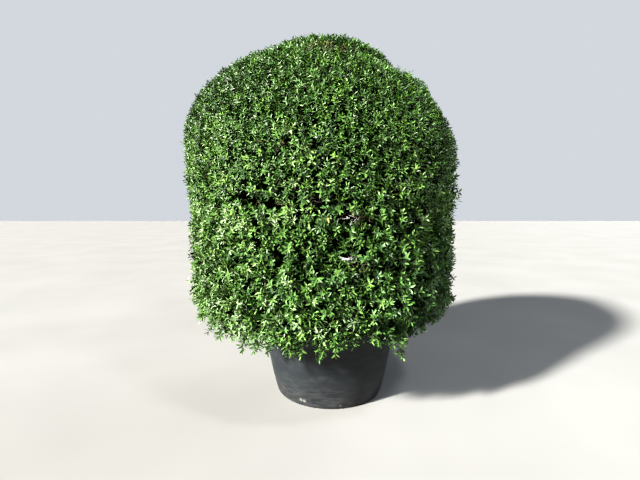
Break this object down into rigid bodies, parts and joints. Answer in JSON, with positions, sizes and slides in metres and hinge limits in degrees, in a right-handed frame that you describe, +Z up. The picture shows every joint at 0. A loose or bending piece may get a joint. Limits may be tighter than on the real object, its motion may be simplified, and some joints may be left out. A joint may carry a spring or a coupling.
{
  "type": "potted japanese holly beehive topiary",
  "caption": "Tall japanese holly shrub clipped to a dense beehive dome with a ragged hem, on a short branching trunk in a round tapered nursery pot.",
  "frame": {"origin": "centre of the pot's flat underside", "axes": "+Z up, along the height; the pictured front looks along -Y; +X to the right seen from the front"},
  "size_m": [1.9632, 1.9642, 2.5821],
  "materials": {
    "pot": "satin charcoal nursery plastic, scuffed and dusty",
    "soil": "moist crumbly potting soil",
    "bark": "smooth grey brown bark with pale warts",
    "foliage": "small glossy evergreen leaves on thin twigs"
  },
  "bodies": {
    "root": {"pot": "pot", "soil": "soil", "trunk": "bark", "bough_leader": "bark", "bough_1": "bark", "bough_2": "bark", "bough_3": "bark", "bough_4": "bark", "bough_5": "bark", "foliage": "foliage"}
  },
  "joints": []
}
